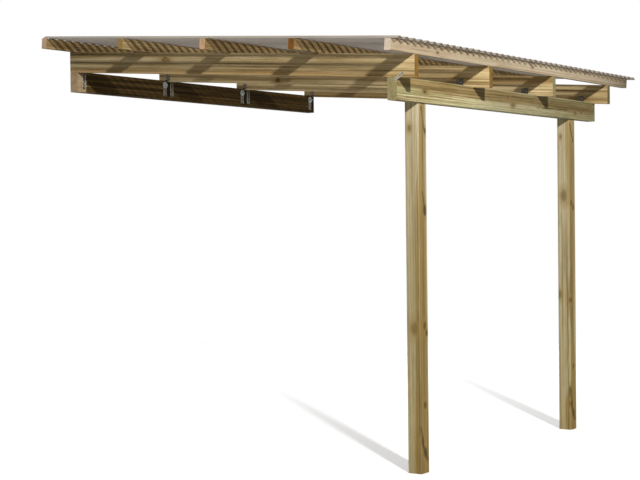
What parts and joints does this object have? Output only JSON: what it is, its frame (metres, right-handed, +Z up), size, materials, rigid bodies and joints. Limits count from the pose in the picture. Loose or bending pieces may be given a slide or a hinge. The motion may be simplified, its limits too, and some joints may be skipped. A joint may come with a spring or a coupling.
{
  "type": "lean-to pergola",
  "caption": "Timber lean-to pergola: two front posts, beam, sloping rafters and purlins under a corrugated roof sheet, with a plate along the wall side.",
  "frame": {"origin": "middle of the wall side of the wall plate", "axes": "+X along the front beam to the right seen from the front, +Y from the front towards the wall, +Z up"},
  "size_m": [3.564, 2.9463, 2.938],
  "materials": {
    "post_timber": "matte",
    "beam_timber": "matte",
    "plate_timber": "matte",
    "rafter_timber": "matte",
    "purlin_timber": "matte",
    "roof_sheet": "gloss",
    "galvanised": "satin",
    "bolt_steel": "satin"
  },
  "bodies": {
    "root": {"post_left": "post_timber", "post_right": "post_timber", "front_beam": "beam_timber", "wall_plate": "plate_timber", "rafter_1": "rafter_timber", "rafter_2": "rafter_timber", "rafter_3": "rafter_timber", "rafter_4": "rafter_timber", "purlin_1": "purlin_timber", "purlin_2": "purlin_timber", "purlin_3": "purlin_timber", "purlin_4": "purlin_timber", "purlin_5": "purlin_timber", "roof_sheet_1": "roof_sheet", "roof_sheet_2": "roof_sheet", "roof_sheet_3": "roof_sheet", "roof_sheet_4": "roof_sheet", "wall_anchor_1_right": "galvanised", "wall_anchor_2_left": "galvanised", "wall_anchor_2_right": "galvanised", "wall_anchor_3_left": "galvanised", "wall_anchor_3_right": "galvanised", "wall_anchor_4_left": "galvanised", "beam_anchor_1_right": "galvanised", "beam_anchor_2_left": "galvanised", "beam_anchor_2_right": "galvanised", "beam_anchor_3_left": "galvanised", "beam_anchor_3_right": "galvanised", "beam_anchor_4_left": "galvanised", "corner_bracket": "galvanised", "wall_bolt_2": "bolt_steel", "wall_bolt_3": "bolt_steel", "wall_bolt_4": "bolt_steel"}
  },
  "joints": []
}
